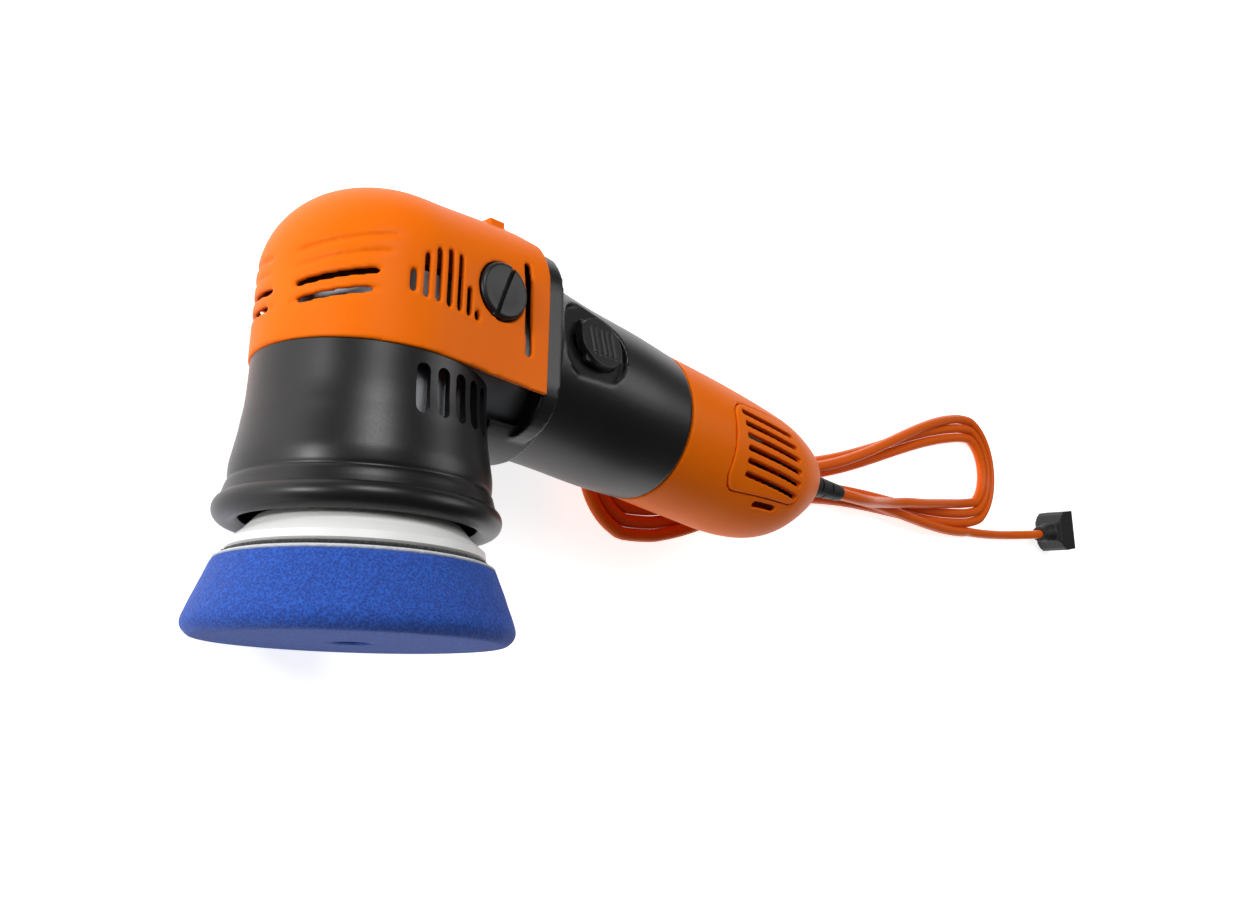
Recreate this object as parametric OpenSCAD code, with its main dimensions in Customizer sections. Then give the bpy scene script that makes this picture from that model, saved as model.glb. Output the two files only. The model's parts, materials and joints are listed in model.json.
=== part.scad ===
// Dual action polisher, lying on its right side with its mains lead folded into a hank.
// The tool is drawn upright on its pad (pad face at z 0, spindle on the z axis, handle along +x)
// and one module then lays it on its side.

/* [Pad and backing plate] */
// Largest diameter of the foam pad
pad_d = 150; // [135:1:180]
// Diameter of the pad's upper face
pad_top_d = 130; // [124:1:134]
// Foam height
pad_h = 34; // [24:1:38]
// Centre hole of the pad
pad_hole_d = 16; // [10:1:30]
// Loop cloth on the pad
loop_h = 2; // [1:0.5:3]
// Hook disc thickness
hook_h = 2.5; // [1.5:0.5:4]
// Backing plate diameter
plate_d = 119; // [100:1:121]
// Backing plate height
plate_h = 19; // [16:1:22]
// Orbit diameter
throw = 15; // [8:0.5:17]
// Angle round the spindle at which the pad centre rests
rest_angle = -120; // [-180:5:180]

/* [Shroud] */
// Outer diameter of the rolled rim
rim_d = 135; // [133:1:150]
// Height of the rim's centre above the pad face
rim_z = 59; // [57:1:62]
// Thickness of the rolled rim
roll_d = 13; // [10:0.5:14]
// Diameter of the cylinder under the cover
drum_d = 115; // [112:0.5:117]
// Shroud wall
shroud_wall = 3; // [2:0.25:3.5]
// Ventilation slots on each side
shroud_slots = 5; // [3:1:6]
// Slot width
slot_w = 7; // [4:0.5:8]

/* [Head] */
// Height of the cover's lower edge above the pad face
cover_z = 130; // [126:1:133]
// Height of the cover above its lower edge
cover_h = 91; // [86:1:100]
// Distance of the cover's rear edge behind the spindle
cover_rear = 68; // [66:1:69]
// Width of the cover across its sides
cover_w = 110; // [108:1:114]
// Cover wall
cover_wall = 2.5; // [2:0.25:3]
// Diameter of the caps in the handle sockets
cap_d = 29; // [26:0.5:31]

/* [Drive] */
// Height of the motor axis above the pad face
axis_z = 150; // [148:1:152]
// Reduction of the bevel gears
bevel_ratio = 4; // [3:0.5:5]
// Outer radius of the ring gear
ring_gear_r = 34; // [30:0.5:35]
// Spindle diameter at its lower bearing
spindle_d = 15; // [12:0.5:17]
// Motor shaft diameter
shaft_d = 12; // [10:0.5:13]
// Running clearance of shafts in bearings, on the radius
run_gap = 0.03; // [0.02:0.01:0.08]
// Gap between parts that are bolted or slid together, on the radius
seat_gap = 0.05; // [0.03:0.01:0.1]

/* [Motor] */
// Where the motor housing meets the rear housing
parting_x = 191.5; // [188:0.5:198]
// Housing wall
housing_wall = 3; // [2.5:0.25:3.5]
// Armature core diameter
armature_d = 46; // [40:1:47]
// Field core diameter
field_d = 75; // [70:1:76]
// Core length
core_l = 50; // [40:1:54]
// Where the core starts
core_x = 125; // [122:1:128]
// Tail end of the rear housing
tail_x = 362; // [356:1:372]

/* [Switch] */
// Travel of the slide switch
switch_travel = 6; // [4:0.5:8]

/* [Supply] */
// Cord diameter
cord_d = 9; // [7:0.5:10]
// Length of the cord's strain relief
relief_l = 55; // [40:1:60]
// Plug body length
plug_l = 60; // [50:1:70]

/* [Hidden] */
$fn = 96;

// Heights of the pad stack
loop_z = pad_h;
hook_z = loop_z + loop_h;
plate_z = hook_z + hook_h;
plate_top = plate_z + plate_h;
// Pad centre at rest
offset_r = throw / 2;
pad_x = offset_r * cos(rest_angle);
pad_y = offset_r * sin(rest_angle);
// Arbor, its bearings and the counterweight that carries them
arbor_d = 12;
arbor_flange_h = 3;
arbor_top = plate_top + 28.5;
arbor_bearing_d = 26;
arbor_bearing_w = 8;
arbor_bearing_z = [plate_top + 7, plate_top + 19];
weight_z = plate_top + 6;
weight_top = plate_top + 35;
weight_r = 46;
weight_t = 14;
hub_r = 18;
bolt_d = 8;
// Lower bearing plate of the gear case
flange_z = 99;
flange_h = 14;
flange_r = 46;
flange_lip = 4;
lower_bearing_d = 35;
lower_bearing_w = 10;
upper_bearing_d = 28;
upper_bearing_w = 8;
upper_bearing_z = 168;
spindle_top_d = 12;
gear_seat_d = 14;
screw_d = 5;
screw_circle = 42.3;
screw_head_r = 3.6;
// Gear case
case_top = 180;
case_r = 46;
case_wall = 5;
neck_r = 44;
neck_start = 10;
neck_x = 62;
motor_flange_l = 14;
front_bearing_d = 32;
front_bearing_w = 10;
pinion_x = 21;
pinion_l = ring_gear_r - pinion_x;
mesh_gap = 0.35;
cap_x = 35;
cap_z = 171;
cap_proud = 3.5;
socket_d = 10;
// Outer sections of the handle: distance behind the spindle, centre height, radius
motor_sections = [[80, 160, 51], [120, 155, 49], [160, 150.5, 48.5], [parting_x, 147.3, 46.7]];
tail_sections = [[parting_x, 147.3, 46.7], [240, 142, 47], [285, 137, 46], [tail_x - 44, 136.5, 41],
    [tail_x - 12, 140, 28], [tail_x, 142, 19]];
collar_x = cover_rear + 0.5;
collar_l = 11;
relief_z = 142;
// Motor internals
commutator_x = 197;
commutator_l = 17;
commutator_d = 27;
rear_bearing_x = 226;
rear_bearing_w = 8;
rear_bearing_d = 24;
rear_shaft_d = 8;
sleeve_r = 31;
sleeve_end = rear_bearing_x + rear_bearing_w + 3;
fan_x = 82;
fan_w = 15;
fan_r = 37;
brush_x = commutator_x + commutator_l / 2;
// Slide switch
switch_angle = 14;
switch_x = 108;
pocket_r = 25;
pocket_depth = 5;
pocket_floor = 2.5;
thumb_r = 15;
stem_l = 8;
stem_w = 6;
stem_foot = 9.2;
rod_t = 1.3;
rod_w = 5;
rod_drop = 12;
rod_l = 131;
// Leaning: the pad rim and the cap on the right side both touch the surface
pad_edge_z = 6.5;
cap_reach = cover_w / 2 + cap_proud;
pad_reach = pad_y + pad_d / 2;
lean = atan((pad_reach - cap_reach) / (cap_z + cap_d / 2 - pad_edge_z));
rest_lift = (pad_reach - pad_edge_z) * cos(lean) + pad_edge_z * sin(lean) + pad_edge_z;
// Origin under the middle of the tool
ring_l = 2;
centre_x = (tail_x + ring_l + pad_x - pad_d / 2) / 2;
shoulder_r = 38;
reach_top = (cover_w / 2 - shoulder_r) * sin(lean) + (cover_z + cover_h - shoulder_r) * cos(lean) + shoulder_r;
reach_bottom = (pad_reach - pad_edge_z) * sin(lean) - pad_edge_z * cos(lean) + pad_edge_z;
centre_y = (reach_top - reach_bottom) / 2;

function arc(cx, cy, r, a0, a1, n = 8) = [for (i = [0 : n]) let (a = a0 + (a1 - a0) * i / n)
    [cx + r * cos(a), cy + r * sin(a)]];
function ring_at(points, i, r, sides) = let (
    n = len(points),
    ahead = points[min(i + 1, n - 1)] - points[max(i - 1, 0)],
    t = ahead / norm(ahead),
    up = abs(t[2]) > 0.8 ? [1, 0, 0] : [0, 0, 1],
    u = cross(up, t) / norm(cross(up, t)),
    v = cross(t, u))
    [for (k = [0 : sides - 1]) points[i] + r * (cos(360 * k / sides) * u + sin(360 * k / sides) * v)];
function spline(p, i, t) = let (
    a = p[max(i - 1, 0)], b = p[i], c = p[i + 1], d = p[min(i + 2, len(p) - 1)])
    0.5 * (2 * b + (c - a) * t + (2 * a - 5 * b + 4 * c - d) * t * t + (3 * b - a - 3 * c + d) * t * t * t);
function smooth(p, steps) = [for (i = [0 : len(p) - 2]) for (s = [0 : steps - 1])
    spline(p, i, s / steps), p[len(p) - 1]];

// A closed tube along a list of points
module tube(points, r, sides = 8) {
    n = len(points);
    rings = [for (i = [0 : n - 1]) each ring_at(points, i, r, sides)];
    faces = concat(
        [[for (k = [0 : sides - 1]) k]],
        [for (i = [0 : n - 2]) for (k = [0 : sides - 1]) let (a = i * sides, b = (k + 1) % sides)
            [a + k, a + sides + k, a + sides + b, a + b]],
        [[for (k = [sides - 1 : -1 : 0]) (n - 1) * sides + k]]);
    polyhedron(rings, faces, convexity = 10);
}
module lay() translate([-centre_x, -centre_y, rest_lift]) rotate([-90 - lean, 0, 0]) children();
module on_pad_axis() translate([pad_x, pad_y, 0]) children();
module along_x(x = 0) translate([x, 0, axis_z]) rotate([0, 90, 0]) children();
module tube_z(r, bore, z, h) translate([0, 0, z]) difference() {
    cylinder(r = r, h = h);
    translate([0, 0, -1]) cylinder(r = bore, h = h + 2);
}
module tube_x(r, bore, x, h) along_x(x) difference() {
    cylinder(r = r, h = h);
    translate([0, 0, -1]) cylinder(r = bore, h = h + 2);
}
// A convex body through circular sections, each smaller by the inset
module loft(sections, inset = 0) hull() for (s = sections)
    translate([s[0], 0, s[1]]) rotate([0, 90, 0]) cylinder(r = s[2] - inset, h = 0.01, $fn = 64);

// ---- Pad and plate ----
module foam_pad() color("royalblue") lay() on_pad_axis() rotate_extrude()
    polygon(concat([[pad_hole_d / 2, 0]],
        arc(pad_d / 2 - pad_edge_z, pad_edge_z, pad_edge_z, -90, 20),
        [[pad_top_d / 2, pad_h], [pad_hole_d / 2, pad_h]]));
module pad_loop() color("gainsboro") lay() on_pad_axis()
    tube_z(pad_top_d / 2 - 1, pad_hole_d / 2, loop_z, loop_h);
module hook_disc() color("black") lay() on_pad_axis()
    tube_z(plate_d / 2 + 1, pad_hole_d / 2, hook_z, hook_h);
module backing_plate() color("white") lay() on_pad_axis() translate([0, 0, plate_z])
    rotate_extrude() polygon(concat([[bolt_d / 2 + 2, 0], [plate_d / 2 - 1, 0], [plate_d / 2, 1],
        [plate_d / 2 - 0.5, 4.5], [plate_d / 2 - 6.5, 9.5], [plate_d / 2 - 12, plate_h - 3],
        [plate_d / 2 - 20, plate_h], [bolt_d / 2 + seat_gap, plate_h], [bolt_d / 2 + seat_gap, 8],
        [bolt_d / 2 + 2, 8]]));
module plate_bolt() color("silver") lay() on_pad_axis() translate([0, 0, plate_z + 4]) difference() {
    union() {
        cylinder(r = bolt_d / 2 + 1.9, h = 4 - seat_gap);
        cylinder(r = bolt_d / 2, h = plate_h + 14);
    }
    translate([0, 0, -1]) cylinder(r = 2.4, h = 4, $fn = 6);
}
module arbor() color("silver") lay() on_pad_axis() difference() {
    union() {
        translate([0, 0, plate_top]) cylinder(r = 14, h = arbor_flange_h);
        cylinder_from(plate_top + 1, arbor_top, arbor_d / 2);
    }
    cylinder_from(plate_top - 1, arbor_top - 5, bolt_d / 2 + seat_gap);
}
module cylinder_from(z0, z1, r) translate([0, 0, z0]) cylinder(r = r, h = z1 - z0);
module arbor_bearing(i) color("lightgray") lay() on_pad_axis()
    tube_z(arbor_bearing_d / 2, arbor_d / 2 + run_gap, arbor_bearing_z[i], arbor_bearing_w);
module arbor_bearing_lower() arbor_bearing(0);
module arbor_bearing_upper() arbor_bearing(1);
module counterweight() color("dimgray") lay() difference() {
    union() {
        on_pad_axis() cylinder_from(weight_z, weight_top, hub_r);
        cylinder_from(weight_top - 6, weight_top, 22);
        intersection() {
            cylinder_from(weight_top - weight_t, weight_top, weight_r);
            rotate([0, 0, rest_angle + 180]) translate([4, -weight_r, 0])
                cube([weight_r, 2 * weight_r, weight_top]);
        }
    }
    on_pad_axis() cylinder_from(weight_z - 1, weight_top - 6.2, arbor_bearing_d / 2 + seat_gap);
}

// ---- Spindle and bevel gears ----
module spindle() color("silver") lay() {
    cylinder_from(weight_top, flange_z + flange_lip, spindle_d / 2 + 2);
    cylinder_from(flange_z + flange_lip, 120, spindle_d / 2);
    cylinder_from(120, upper_bearing_z - 2, gear_seat_d / 2);
    cylinder_from(upper_bearing_z - 2, upper_bearing_z + upper_bearing_w, spindle_top_d / 2);
}
gear_back = axis_z - ring_gear_r / bevel_ratio - 11;
module ring_gear() color("slategray") lay() difference() {
    rotate_extrude() polygon([[gear_seat_d / 2 + seat_gap, gear_back - 4], [14, gear_back - 4],
        [18, gear_back], [ring_gear_r - 3, gear_back],
        [ring_gear_r, axis_z - ring_gear_r / bevel_ratio - mesh_gap],
        [20, axis_z - 20 / bevel_ratio - mesh_gap], [18, axis_z - 9], [gear_seat_d / 2 + seat_gap, axis_z - 9]]);
    for (i = [0 : 35]) rotate([0, 0, i * 10])
        translate([19, -0.9, axis_z - ring_gear_r / bevel_ratio - 2.5]) cube([20, 1.8, 8]);
}
module spindle_bearing_lower() color("lightgray") lay()
    tube_z(lower_bearing_d / 2, spindle_d / 2 + run_gap, flange_z + flange_lip, lower_bearing_w);
module spindle_bearing_upper() color("lightgray") lay()
    tube_z(upper_bearing_d / 2, spindle_top_d / 2 + run_gap, upper_bearing_z, upper_bearing_w);
module bearing_flange() color("silver") lay() difference() {
    cylinder_from(flange_z, flange_z + flange_h, flange_r);
    cylinder_from(flange_z - 1, flange_z + flange_h, spindle_d / 2 + 4);
    cylinder_from(flange_z + flange_lip, flange_z + flange_h + 1, lower_bearing_d / 2 + seat_gap);
    for (a = [45 : 90 : 315]) rotate([0, 0, a]) translate([screw_circle, 0, 0])
        cylinder_from(flange_z - 1, flange_z + flange_h + 1, screw_d / 2 + seat_gap);
    for (a = [0 : 90 : 270]) rotate([0, 0, a]) translate([screw_circle + 1, 0, 0])
        cylinder_from(flange_z - 1, flange_z + 8, 2 + seat_gap);
}
module bearing_retainer() color("gray") lay()
    tube_z(lower_bearing_d / 2 + 6, lower_bearing_d / 2 - 4, flange_z + flange_h, 2.5);
module flange_screws() color("silver") lay() for (a = [45 : 90 : 315]) rotate([0, 0, a])
    translate([screw_circle, 0, 0]) {
        cylinder_from(flange_z, flange_z + flange_h + 9, screw_d / 2);
        difference() {
            cylinder_from(flange_z - 3.5, flange_z, screw_head_r);
            cylinder_from(flange_z - 4, flange_z - 1.5, 2);
        }
    }

// ---- Shroud ----
ring_z = flange_z - 3.5;
roll_r = roll_d / 2;
rim_r = rim_d / 2;
drum_r = drum_d / 2;
shoulder_z = 106;
groove_z = rim_z + roll_r + 6.5;
module shroud_shape() rotate_extrude() polygon(concat(
    arc(rim_r - roll_r, rim_z, roll_r, -150, 75, 14),
    [[rim_r - 5.8, groove_z - 1.2], [rim_r - 5, groove_z + 3], [rim_r - 5.6, groove_z + 10],
     [rim_r - 6.9, groove_z + 17], [rim_r - 8.6, groove_z + 23], [rim_r - 9.4, groove_z + 29],
     [drum_r + 0.4, shoulder_z], [drum_r, shoulder_z + 1], [drum_r - 0.6, cover_z],
     [drum_r - 0.6 - shroud_wall, cover_z], [drum_r - shroud_wall, flange_z],
     [flange_r - 12, flange_z], [flange_r - 12, ring_z], [drum_r - shroud_wall - 1, ring_z],
     [rim_r - 8.5 - shroud_wall, groove_z + 10], [rim_r - 7.5 - shroud_wall, groove_z - 1]]));
module shroud() color("#1c1c1c") lay() difference() {
    shroud_shape();
    // Upper edge, level with the sloping lower edge of the cover
    translate([-cover_front, 0, cover_z + edge_rise - 0.4]) rotate([0, edge_slope, 0])
        translate([-5, -80, 0]) cube([170, 160, 20]);
    // Saddle for the neck of the gear case
    along_x(20) cylinder(r = neck_r + 1, h = 60);
    for (side = [-1, 1]) for (i = [0 : shroud_slots - 1])
        rotate([0, 0, side * (77 + 11 * ((shroud_slots - 1) / 2 - i))]) {
            translate([40, -slot_w / 2, flange_z + 3.5]) cube([30, slot_w, 17]);
            for (z = [flange_z + 3.5, flange_z + 20.5]) translate([40, 0, z])
                rotate([0, 90, 0]) cylinder(r = slot_w / 2, h = 30);
        }
    for (a = [0 : 90 : 270]) rotate([0, 0, a]) translate([screw_circle + 1, 0, 0])
        cylinder_from(ring_z - 1, flange_z + 1, 2 + seat_gap);
    for (a = [45 : 90 : 315]) rotate([0, 0, a]) translate([screw_circle, 0, 0])
        cylinder_from(ring_z - 1, flange_z + 1, screw_head_r + 0.5);
}
module shroud_screws() color("silver") lay() for (a = [0 : 90 : 270]) rotate([0, 0, a])
    translate([screw_circle + 1, 0, 0]) {
        cylinder_from(ring_z - 0.01, flange_z + 7, 2);
        cylinder_from(ring_z - 1.8, ring_z, 3.5);
    }

// ---- Gear case ----
module gear_case() color("#b9bcc0") lay() difference() {
    union() {
        cylinder_from(flange_z + flange_h, case_top - 8, case_r);
        cylinder_from(case_top - 9, case_top, 30);
        along_x(neck_start) cylinder(r = neck_r, h = neck_x - neck_start);
        for (s = [-1, 1]) translate([cap_x, 0, cap_z]) rotate([s * 90, 0, 0]) cylinder(r = 11, h = 52);
    }
    cylinder_from(flange_z + flange_h - 8, axis_z + 16, case_r - case_wall);
    along_x(neck_start + case_wall) cylinder(r = neck_r - case_wall, h = neck_x + 1 - neck_start - case_wall);
    cylinder_from(flange_z - 2, flange_z + flange_h, flange_r + 0.3);
    cylinder_from(axis_z, upper_bearing_z + upper_bearing_w + 0.5, upper_bearing_d / 2 + seat_gap);
    for (s = [-1, 1]) translate([cap_x, 0, cap_z]) rotate([s * 90, 0, 0])
        translate([0, 0, 36]) cylinder(r = socket_d / 2, h = 20);
    for (a = [45 : 90 : 315]) rotate([0, 0, a]) translate([screw_circle, 0, 0])
        cylinder_from(flange_z, flange_z + flange_h + 9.5, screw_d / 2 + seat_gap);
    // Room for the front bearing plate's spigot
    along_x(neck_x - 3) cylinder(r = neck_r - case_wall + 0.5, h = 4);
}
module motor_flange() color("#c3c6ca") lay() difference() {
    along_x(neck_x) cylinder(r = neck_r, h = motor_flange_l);
    along_x(neck_x - 1) cylinder(r = shaft_d / 2 + 3, h = motor_flange_l + 2);
    along_x(neck_x + 2) cylinder(r = front_bearing_d / 2 + seat_gap, h = motor_flange_l);
    for (s = [-1, 1]) translate([0, s * 30, 0]) along_x(neck_x - 1)
        cylinder(r = 6, h = motor_flange_l + 2);
}

// ---- Head cover ----
cover_front = drum_r + 0.5;
// The cover's lower edge is this much higher than cover_z in front, and lower at the rear
edge_rise = 1;
edge_drop = 4;
edge_slope = atan((edge_rise + edge_drop) / (cover_front + cover_rear));
cover_top = cover_z + cover_h;
// Side outline: low domed front, nearly flat top, upright rear edge
module cover_side(o) translate([0, 200, 0]) rotate([90, 0, 0]) linear_extrude(400) polygon(concat(
    [[-cover_front + o, cover_z + edge_rise - (o > 0 ? 10 : 0)]],
    arc(-cover_front + 42, cover_top - 49, 42 - o, 180, 95, 10),
    [[cover_rear - 14, cover_top - o]],
    arc(cover_rear - 8, cover_top - 8, 8 - min(o, 2), 80, 0, 5),
    [[cover_rear + (o > 0 ? 10 : 0), cover_z - edge_drop - (o > 0 ? 10 : 0)]]));
// Plan outline: round nose, straight sides
module cover_plan(o) cylinder_plan(cover_w / 2 - o, cover_front - o);
module cylinder_plan(half, nose) translate([0, 0, 80]) linear_extrude(200) polygon(concat(
    arc(0, 0, nose, 180 + 72, 180 - 72, 20), [[0, half], [cover_rear + 10, half], [cover_rear + 10, -half], [0, -half]]));
// Front outline: upright sides and broad rounded shoulders
module cover_end(o) translate([-100, 0, 0]) rotate([90, 0, 90]) linear_extrude(300) polygon(concat(
    [[cover_w / 2 + 5 - o, 90], [cover_w / 2 + 5 - o, cover_top - 50]],
    arc(cover_w / 2 - shoulder_r, cover_top - shoulder_r, shoulder_r - o, 0, 90, 12),
    arc(-cover_w / 2 + shoulder_r, cover_top - shoulder_r, shoulder_r - o, 90, 180, 12),
    [[-cover_w / 2 - 5 + o, cover_top - 50], [-cover_w / 2 - 5 + o, 90]]));
module cover_solid(o) intersection() {
    cover_side(o);
    cover_plan(o);
    cover_end(o);
}
module side_slot(x, z0, z1, w) for (s = [-1, 1]) translate([x - w / 2, s * 50 - 15, z0]) cube([w, 30, z1 - z0]);
// Tops and feet of the side vents, from front to back
vent_z = [[141, 160], [143, 176], [145, 180], [146, 179], [148, 177], [150, 163], [152, 155]];
module head_cover() color("#f97a12") lay() difference() {
    cover_solid(0);
    cover_solid(cover_wall);
    for (i = [0 : len(vent_z) - 1]) side_slot(-17 + 6.3 * i, vent_z[i][0], vent_z[i][1], 3);
    side_slot(cover_rear - 11, 143, 196, 5);
    for (s = [-1, 1]) {
        translate([cap_x, 0, cap_z]) rotate([s * 90, 0, 0]) cylinder(r = cap_d / 2 + 0.5, h = 90);
        // Front slots, cut through on both sides of the middle rib
        for (z = [149, 160]) rotate([0, 0, s * 50]) translate([-80, -26, z]) cube([40, 44, 3.5]);
    }
}
module head_cap(s) color("#202022") lay() translate([cap_x, 0, cap_z]) rotate([s * 90, 0, 0]) difference() {
    union() {
        translate([0, 0, 52]) cylinder(r = cap_d / 2, h = cap_reach - 52);
        translate([0, 0, 38]) cylinder(r = socket_d / 2 - seat_gap, h = 15);
    }
    translate([-20, -1.2, cap_reach - 2.5]) cube([40, 2.4, 5]);
}
module head_cap_left() head_cap(1);
module head_cap_right() head_cap(-1);

// ---- Armature ----
module pinion() color("slategray") lay() difference() {
    along_x(pinion_x) cylinder(r1 = pinion_x / bevel_ratio - mesh_gap,
        r2 = ring_gear_r / bevel_ratio - mesh_gap, h = pinion_l);
    for (i = [0 : 8]) along_x(pinion_x - 1) rotate([0, 0, i * 40])
        translate([ring_gear_r / bevel_ratio - 1.6, -0.7, 0]) cube([5, 1.4, pinion_l + 2]);
}
module armature_shaft() color("silver") lay() {
    along_x(ring_gear_r) cylinder(r = 5, h = neck_x - ring_gear_r);
    along_x(neck_x) cylinder(r = shaft_d / 2, h = commutator_x + commutator_l + 6 - neck_x);
    along_x(commutator_x + commutator_l + 6) cylinder(r = rear_shaft_d / 2,
        h = rear_bearing_x + rear_bearing_w - commutator_x - commutator_l - 6);
}
bore_r = shaft_d / 2 + seat_gap;
module armature_core() color("dimgray") lay() difference() {
    tube_x(armature_d / 2, bore_r, core_x, core_l);
    for (i = [0 : 11]) along_x(core_x - 1) rotate([0, 0, i * 30])
        translate([armature_d / 2 - 5, -1.2, 0]) cube([8, 2.4, core_l + 2]);
}
module armature_windings() color("#b5651d") lay() {
    tube_x(armature_d / 2 - 3, bore_r, core_x - 13, 13);
    tube_x(armature_d / 2 - 3, bore_r, core_x + core_l, commutator_x - core_x - core_l);
}
module commutator() color("#b87333") lay() difference() {
    tube_x(commutator_d / 2, bore_r, commutator_x, commutator_l);
    for (i = [0 : 23]) along_x(commutator_x - 1) rotate([0, 0, i * 15])
        translate([commutator_d / 2 - 1, -0.3, 0]) cube([3, 0.6, commutator_l - 2]);
}
module fan() color("#3a3a3a") lay() {
    tube_x(12, bore_r, fan_x, fan_w);
    tube_x(fan_r, 11, fan_x + fan_w - 2.5, 2.5);
    for (i = [0 : 14]) along_x(fan_x) rotate([0, 0, i * 24]) translate([11, -0.9, 0])
        cube([fan_r - 12, 1.8, fan_w - 2]);
}
module front_bearing() color("lightgray") lay()
    tube_x(front_bearing_d / 2, shaft_d / 2 + run_gap, neck_x + 2, front_bearing_w);
module rear_bearing() color("lightgray") lay()
    tube_x(rear_bearing_d / 2, rear_shaft_d / 2 + run_gap, rear_bearing_x, rear_bearing_w);

// ---- Field, baffle, brushes ----
field_bore = armature_d / 2 + 0.7;
module field_core() color("gray") lay() tube_x(field_d / 2, field_bore, core_x, core_l);
module field_coils() color("#b5651d") lay() for (x = [core_x - 12, core_x + core_l])
    difference() {
        tube_x(field_d / 2 - 2, field_bore + 1, x, 12);
        translate([x - 1, -50, axis_z - 5]) cube([14, 100, 10]);
    }
module air_baffle() color("#2a2a2a") lay() tube_x(fan_r + 2, 28, fan_x + fan_w + 2, 2.5);
module brush_holders() color("goldenrod") lay() for (s = [-1, 1]) difference() {
    translate([brush_x - 7, s > 0 ? 15 : -38, axis_z - 5.5]) cube([14, 23, 11]);
    translate([brush_x - 5.1, s > 0 ? 14 : -39, axis_z - 3.6]) cube([10.2, 25, 7.2]);
}
module brushes() color("#333333") lay() for (s = [-1, 1])
    translate([brush_x - 5, s > 0 ? commutator_d / 2 + 0.3 : -28, axis_z - 3.5])
        cube([10, 28 - commutator_d / 2 - 0.3, 7]);
module brush_springs() color("silver") lay() for (s = [-1, 1])
    tube([for (i = [0 : 40]) [brush_x + 2.8 * cos(i * 36), s * (28.6 + i * 0.21), axis_z + 2.8 * sin(i * 36)]],
        0.4, 6);

// ---- Housings ----
collar_top = cover_top - 8;
module collar(o) along_profile(collar_x, collar_l, cover_w / 2 - 3 - o, 108 + o, collar_top - o, 28 - o);
module along_profile(x, l, half, z0, z1, r) translate([x, 0, 0]) rotate([90, 0, 90]) linear_extrude(l)
    polygon(concat(arc(half - r, z1 - r, r, 0, 90), arc(-half + r, z1 - r, r, 90, 180),
        arc(-half + r, z0 + r, r, 180, 270), arc(half - r, z0 + r, r, 270, 360)));
module motor_housing() color("#161616") lay() difference() {
    union() {
        difference() {
            union() {
                loft(motor_sections);
                collar(0);
                // Tongue that reaches under the neck to the shroud
                intersection() {
                    along_x(45) cylinder(r = neck_r + 4.5, h = 40);
                    translate([40, -34, 90]) cube([45, 68, 24]);
                }
            }
            loft(motor_sections, housing_wall);
            along_x(20) cylinder(r = neck_r + 0.4, h = neck_x + motor_flange_l + 0.5 - 20);
            along_x(neck_x) cylinder(r = neck_r - 8, h = 20);
            cylinder_from(50, 140, drum_r + 1);
            along_x(parting_x - 1) cylinder(r = 60, h = 5);
        }
        // Ribs that hold the field core
        difference() {
            intersection() {
                loft(motor_sections, housing_wall - 0.5);
                for (a = [45 : 90 : 315]) along_x(core_x + 2) rotate([0, 0, a])
                    translate([0, -2, 0]) cube([60, 4, core_l - 4]);
            }
            along_x(core_x) cylinder(r = field_d / 2 + seat_gap, h = core_l + 2);
        }
        // Floor and rim of the switch recess
        intersection() {
            loft(motor_sections, 0.2);
            switch_place() translate([0, 0, -pocket_depth - pocket_floor])
                cylinder(r = pocket_r + 2, h = 20);
        }
        // Sleeve behind the field that carries the rear bearing and the brush holders
        difference() {
            union() {
                tube_x(sleeve_r, sleeve_r - 3, core_x + core_l + 12.5, sleeve_end - core_x - core_l - 12.5);
                tube_x(sleeve_r, rear_bearing_d / 2 + seat_gap, rear_bearing_x, sleeve_end - rear_bearing_x);
                intersection() {
                    loft(motor_sections, housing_wall - 0.5);
                    for (a = [45 : 90 : 315]) along_x(parting_x - 4) rotate([0, 0, a])
                        translate([sleeve_r - 1, -2, 0]) cube([30, 4, 6]);
                }
            }
            translate([brush_x - 7.1, -60, axis_z - 5.6]) cube([14.2, 120, 11.2]);
        }
    }
    // Recess of the slide switch, with a slot for its stem
    switch_place() {
        translate([0, 0, -pocket_depth]) cylinder(r = pocket_r, h = 30);
        translate([-stem_l / 2 - switch_travel - 1, -stem_w / 2 - 1, -15])
            cube([stem_l + switch_travel + 2, stem_w + 2, 20]);
    }
}
switch_out = 49;
// Frame of the switch: z points out of the left side
module switch_place() translate([switch_x, 0, 155]) rotate([90 - switch_angle, 0, 0])
    translate([0, 0, switch_out]) children();
module switch_slider() color("#1b1b1b") lay() switch_place() difference() {
    union() {
        translate([-8, -13, -pocket_depth + 0.4]) cube([22, 26, 4]);
        translate([4, 0, -pocket_depth + 0.4]) cylinder(r = thumb_r, h = pocket_depth + 1);
        translate([-stem_l / 2, -stem_w / 2, -stem_foot]) cube([stem_l, stem_w, stem_foot - 3]);
    }
    for (i = [-2 : 2]) translate([4 + i * 4 - 0.6, -8, 0.8]) cube([1.2, 16, 2]);
}
module switch_rod() color("#444444") lay() switch_place() {
    // Link under the stem, then the rod along the side and its nose in front of the switch
    translate([-stem_l / 2, -rod_drop - rod_w / 2, -stem_foot - rod_t])
        cube([stem_l, rod_drop + rod_w, rod_t]);
    translate([0, -rod_drop - rod_w / 2, -stem_foot - rod_t]) cube([rod_l, rod_w, rod_t]);
    translate([rod_l - 3, -rod_drop - rod_w / 2, -stem_foot - 5]) cube([3, rod_w, 5]);
}
module switch_module() color("#202020") lay() translate([switch_x + rod_l + 2, -39, axis_z - 10])
    cube([28, 21, 14]);
module speed_module() color("#2f5f2f") lay() translate([244, 6, axis_z - 24]) cube([34, 26, 18]);

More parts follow.
